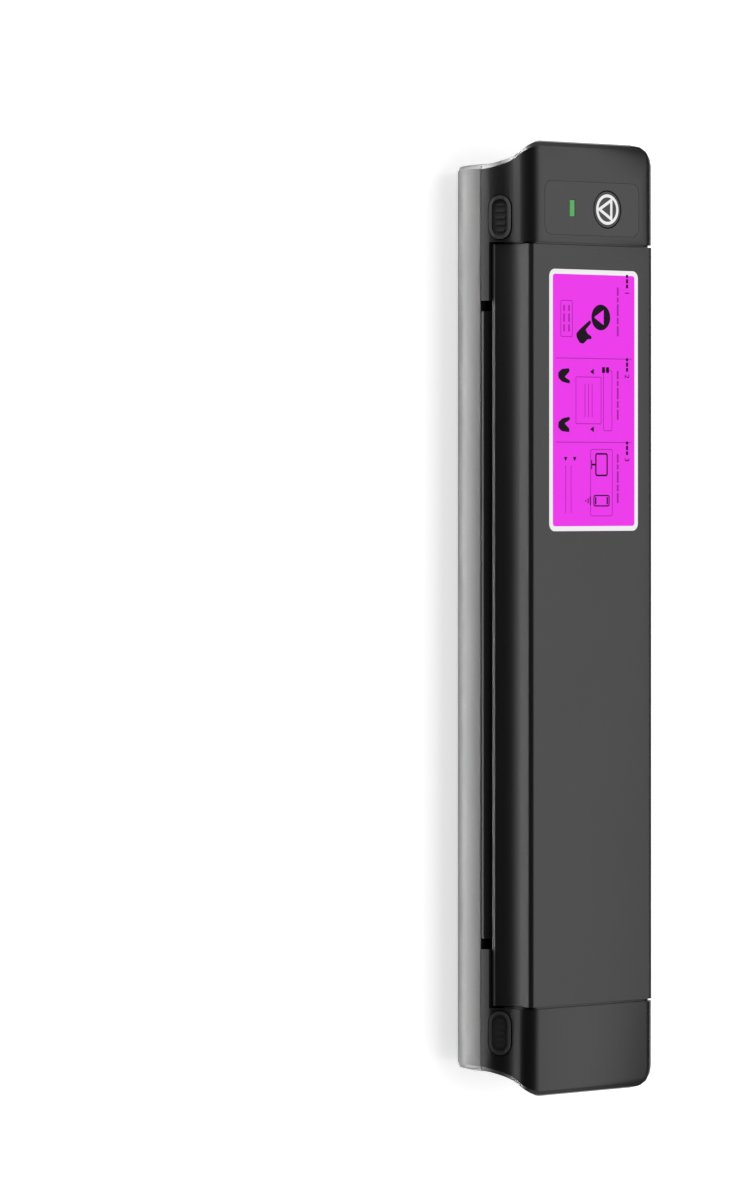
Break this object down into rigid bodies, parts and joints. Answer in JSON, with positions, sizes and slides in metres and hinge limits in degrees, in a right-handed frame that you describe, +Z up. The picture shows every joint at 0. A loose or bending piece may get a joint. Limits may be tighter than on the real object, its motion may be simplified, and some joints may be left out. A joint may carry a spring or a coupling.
{
  "type": "thermal stencil copier",
  "caption": "Bar-shaped thermal stencil copier: hinged cover with a geared platen roller, sprung print head, front paper slot, push latches, power button and status light.",
  "frame": {"origin": "centre of the bounding box's underside, on the plane of the rubber feet", "axes": "+X along the bar from the power button's end to the plain end, +Y from the paper inlet at the front to the outlet at the rear, +Z up from the feet to the cover"},
  "size_m": [0.31, 0.062, 0.041],
  "materials": {
    "casing": "satin black",
    "cover": "satin black",
    "inner": "matt black",
    "panel": "matt dark grey",
    "latch": "satin black",
    "label": "printed magenta film with a white border",
    "light": "green lens",
    "steel": "plain steel",
    "aluminium": "plain extruded",
    "rubber": "ground rubber",
    "gear": "moulded white acetal",
    "board": "green circuit board",
    "ceramic": "glazed ceramic",
    "battery": "blue sleeve"
  },
  "bodies": {
    "base": {"lower_casing": "casing", "upper_casing": "casing", "control_panel": "panel", "status_light": "light", "button_board": "board", "button_switch": "inner", "inlet_guide": "inner", "paper_deck": "inner", "paper_sensor": "inner", "mechanism_frame": "steel", "head_pivot_shaft": "steel", "idler_pin": "steel", "motor_plate": "steel", "motor": "steel", "battery_pack": "battery", "main_board": "board", "charging_socket": "steel", "foot_1": "rubber", "foot_2": "rubber", "foot_3": "rubber", "foot_4": "rubber", "case_screw_1": "steel", "case_screw_2": "steel", "case_screw_3": "steel", "case_screw_4": "steel", "frame_screw_1": "steel", "frame_screw_2": "steel", "head_spring_1": "steel", "head_spring_2": "steel", "head_spring_3": "steel", "hinge_pin_left": "steel", "hinge_pin_right": "steel", "latch_spring_left": "steel", "latch_spring_right": "steel"},
    "cover": {"top_cover": "cover", "instruction_label": "label", "platen_carrier": "inner", "platen_bush_left": "inner", "platen_bush_right": "inner"},
    "platen": {"platen_shaft": "steel", "platen_rubber": "rubber", "platen_gear": "gear"},
    "idler": {"idler_gear": "gear"},
    "motor_rotor": {"motor_pinion": "gear"},
    "print_head": {"head_heat_sink": "aluminium", "heater_board": "ceramic", "driver_cover": "inner"},
    "power_key": {"power_button": "panel"},
    "latch_left": {"latch_button_left": "latch"},
    "latch_right": {"latch_button_right": "latch"},
    "lever_left": {"latch_lever_left": "inner"},
    "lever_right": {"latch_lever_right": "inner"}
  },
  "joints": [
    {"name": "cover_hinge", "type": "hinge", "parent": "base", "child": "cover", "pos_m": [0, 0.0264, 0.0364], "axis": [-1, 0, 0], "range_deg": [0, 85]},
    {"name": "platen_spin", "type": "hinge", "parent": "cover", "child": "platen", "pos_m": [0, -0.012, 0.0305], "axis": [1, 0, 0], "continuous": true},
    {"name": "idler_spin", "type": "hinge", "parent": "base", "child": "idler", "pos_m": [0, -0.01009, 0.01805], "axis": [1, 0, 0], "continuous": true},
    {"name": "motor_spin", "type": "hinge", "parent": "base", "child": "motor_rotor", "pos_m": [0, 0.00169, 0.01576], "axis": [1, 0, 0], "continuous": true},
    {"name": "head_pivot", "type": "hinge", "parent": "base", "child": "print_head", "pos_m": [0, 0.005, 0.0214], "axis": [1, 0, 0], "range_deg": [0, 3], "stiffness_Nm_per_rad": 4, "springref_deg": -5.73, "deforming": ["head_spring_1", "head_spring_2", "head_spring_3"]},
    {"name": "power_button_press", "type": "slide", "parent": "base", "child": "power_key", "axis": [0, 0, -1], "range_m": [0, 0.0007], "stiffness_N_per_m": 1500, "springref_m": -0.0005},
    {"name": "latch_left_press", "type": "slide", "parent": "base", "child": "latch_left", "axis": [0, 0.8105, -0.5857], "range_m": [0, 0.0012], "stiffness_N_per_m": 1000, "springref_m": -0.0012},
    {"name": "latch_right_press", "type": "slide", "parent": "base", "child": "latch_right", "axis": [0, 0.8105, -0.5857], "range_m": [0, 0.0012], "stiffness_N_per_m": 1000, "springref_m": -0.0012},
    {"name": "lever_left_turn", "type": "hinge", "parent": "base", "child": "lever_left", "pos_m": [0, -0.022, 0.02], "axis": [1, 0, 0], "range_deg": [0, 11.6]},
    {"name": "lever_right_turn", "type": "hinge", "parent": "base", "child": "lever_right", "pos_m": [0, -0.022, 0.02], "axis": [1, 0, 0], "range_deg": [0, 11.6]}
  ],
  "couplings": [
    {"joint": "idler_spin", "follows": "platen_spin", "ratio": -1.1},
    {"joint": "motor_spin", "follows": "platen_spin", "ratio": 2.5667},
    {"joint": "lever_left_turn", "follows": "latch_left_press", "rad_per_m": 166.67},
    {"joint": "lever_right_turn", "follows": "latch_right_press", "rad_per_m": 166.67}
  ]
}
